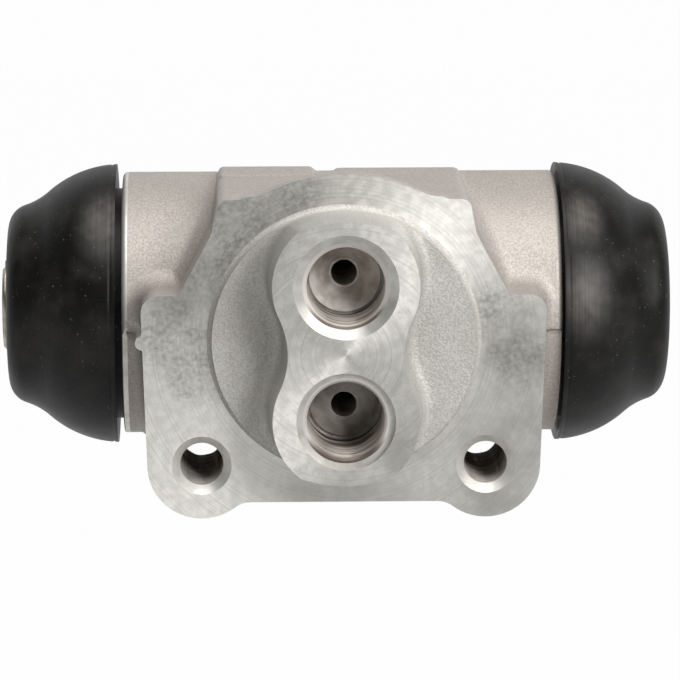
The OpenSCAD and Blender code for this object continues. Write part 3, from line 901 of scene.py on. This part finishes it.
def rubber(name, dark, dust, dusty, dust_and_highlight_places=()):
    """Moulded rubber with rings left by the mould, fine grain, dusty smears, and dusty places lightened as
    painted highlights.
    """
    f = Finish(name)
    dy = f.math("SUBTRACT", f.y, AXIS_Y * MM)
    from_axis = f.hypot(dy, f.z)
    rings = f.noise(0.22, 2, f.vector(f.x, from_axis, 0.0))
    grain = f.noise(0.15, 2)
    smear = f.noise(4, 4)
    share = f.math("MULTIPLY", f.spread(smear, 0.42, 0.75), dusty)
    blotch = f.spread(f.noise(1.4, 5), 0.25, 0.75, 0.45, 0.8)
    # Painted highlight as well as dust: these places are lightened towards the dust colour where the lamps'
    # highlights fall on the boots.
    for place in dust_and_highlight_places:
        share = f.math("MAXIMUM", share, f.math("MULTIPLY", near(f, place), blotch))
    share = f.math("MULTIPLY", share, f.spread(rings, 0.3, 0.65, 0.75, 1))
    share = f.math("MAXIMUM", share, f.spread(f.noise(0.35, 1), 0.7, 0.78, 0, 0.55))
    return f.surface(
        base_color=f.blend(share, dark, dust),
        roughness=f.spread(smear, 0.3, 0.75, 0.4, 0.5),
        specular_ior_level=0.17,
        normal=f.bump(grain, 0.006, f.bump(rings, 0.012)),
    )


def near(f, place):
    """How near a point is to a place given as [x, y, z, reach], from 0 at its reach to 1 in its middle.

    The place reaches further around the boot than along it.
    """
    *middle, reach = place
    kind = "ShaderNodeVectorMath"
    away = f.add(kind, {0: f.place, 1: Vector(middle) * MM}, operation="SUBTRACT").outputs["Vector"]
    scaled = f.add(kind, {0: away, 1: DUST_AND_HIGHLIGHT_SHAPE}, operation="MULTIPLY").outputs["Vector"]
    distance = f.add(kind, {0: scaled}, operation="LENGTH").outputs["Value"]
    return f.spread(distance, reach * MM, 0)


def spring_steel():
    """Drawn and pressed steel with a dull grey coat."""
    f = Finish("spring_steel")
    smear = f.noise(1.5, 3)
    return f.surface(
        base_color=f.blend(f.spread(smear, 0.35, 0.7), srgb(150, 152, 155), srgb(118, 119, 121)),
        metallic=1.0,
        roughness=f.spread(smear, 0.3, 0.7, 0.28, 0.42),
        normal=f.bump(f.noise(0.1, 2), 0.003),
    )


def floor_white():
    """A pale floor that keeps the object's shadow, and is white where it is seen or mirrored."""
    f = Finish("floor_white")
    path = f.add("ShaderNodeLightPath").outputs
    seen = f.math("MAXIMUM", path["Is Camera Ray"], path["Is Glossy Ray"])
    seen = f.math("MAXIMUM", seen, path["Is Transmission Ray"])
    matt = f.add("ShaderNodeBsdfDiffuse", {"Color": srgb(160, 160, 160)})
    white = f.add("ShaderNodeEmission", {"Color": srgb(255, 255, 255), "Strength": 1.0})
    share = f.math("MULTIPLY", seen, FLOOR_WHITE_SHARE)
    both = f.add("ShaderNodeMixShader", {0: share, 1: matt.outputs[0], 2: white.outputs[0]})
    f.add("ShaderNodeOutputMaterial", {"Surface": both.outputs[0]})
    return f.material


def make_floor():
    near, far, half = FLOOR_REACH
    rows = [[near, FLOOR_Z], [far, FLOOR_Z], [far, BACKDROP_TOP]]
    corners = [[x, y, z] for y, z in rows for x in (-half, half)]
    floor = new_object("floor", corners, [[0, 1, 3, 2], [2, 3, 5, 4]])
    floor.data.materials.append(floor_white())


def look_at(obj, place, target):
    """Puts a camera or a lamp at a place, turned towards a target."""
    obj.location = Vector(place) * MM
    aim = (Vector(target) - Vector(place)).to_track_quat("-Z", "Y")
    obj.rotation_euler = aim.to_euler()
    bpy.context.scene.collection.objects.link(obj)


def make_camera():
    camera = bpy.data.objects.new("camera", bpy.data.cameras.new("camera"))
    camera.data.lens = LENS
    camera.data.clip_start = CLIP_START * MM
    turn, rise = math.radians(CAMERA_AZIMUTH), math.radians(CAMERA_ELEVATION)
    back = Vector((
        math.sin(turn) * math.cos(rise), -math.cos(turn) * math.cos(rise), math.sin(rise),
    ))
    look_at(camera, Vector(CAMERA_TARGET) + CAMERA_DISTANCE * back, CAMERA_TARGET)
    bpy.context.scene.camera = camera


def make_lights():
    for name, place, size, watts in LAMPS:
        lamp = bpy.data.lights.new(name, "AREA")
        lamp.size = size * MM
        lamp.energy = watts
        look_at(bpy.data.objects.new(name, lamp), place, CAMERA_TARGET)
    world = bpy.data.worlds.new("studio")
    world.use_nodes = True
    world.node_tree.nodes["Background"].inputs["Color"].default_value = WORLD_GREY
    world.node_tree.nodes["Background"].inputs["Strength"].default_value = 1.0
    bpy.context.scene.world = world


def dress_nodes(finishes):
    """Gives each CAD node that stays in view its finish."""
    for name, finish in finishes.items():
        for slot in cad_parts[name].material_slots:
            slot.material = finish


make_camera()
bpy.context.scene.view_settings.view_transform = "Standard"
make_lights()
make_floor()

body = make_body({
    "cast": cast_aluminium(),
    "faced": faced_aluminium(),
    "turned": turned_aluminium(),
    "bored": bored_aluminium("bored_aluminium", srgb(194, 192, 186), srgb(176, 174, 168), 0.6),
    "seated": bored_aluminium("seated_aluminium", srgb(216, 211, 203), srgb(182, 174, 165), 0.25),
    "drilled": drilled_aluminium(),
})
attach(body, "cylinder")
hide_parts("cylinder_body")

boot_rubber = rubber("boot_rubber", srgb(13, 12, 11), srgb(100, 96, 92), 0.12, DUST_AND_HIGHLIGHT)
steel = spring_steel()
for side, hand in ((LEFT, "left"), (RIGHT, "right")):
    make_boot(side, hand + "_boot", boot_rubber)
    make_spring_half(side, hand + "_spring_half", steel)

cup_rubber = rubber("cup_rubber", srgb(26, 26, 27), srgb(74, 73, 72), 0.3)
piston_metal = piston_aluminium()
for hand in ("left", "right"):
    dress_nodes({
        hand + "_piston": piston_metal,
        hand + "_cup_seal": cup_rubber,
        hand + "_cup_expander": steel,
    })
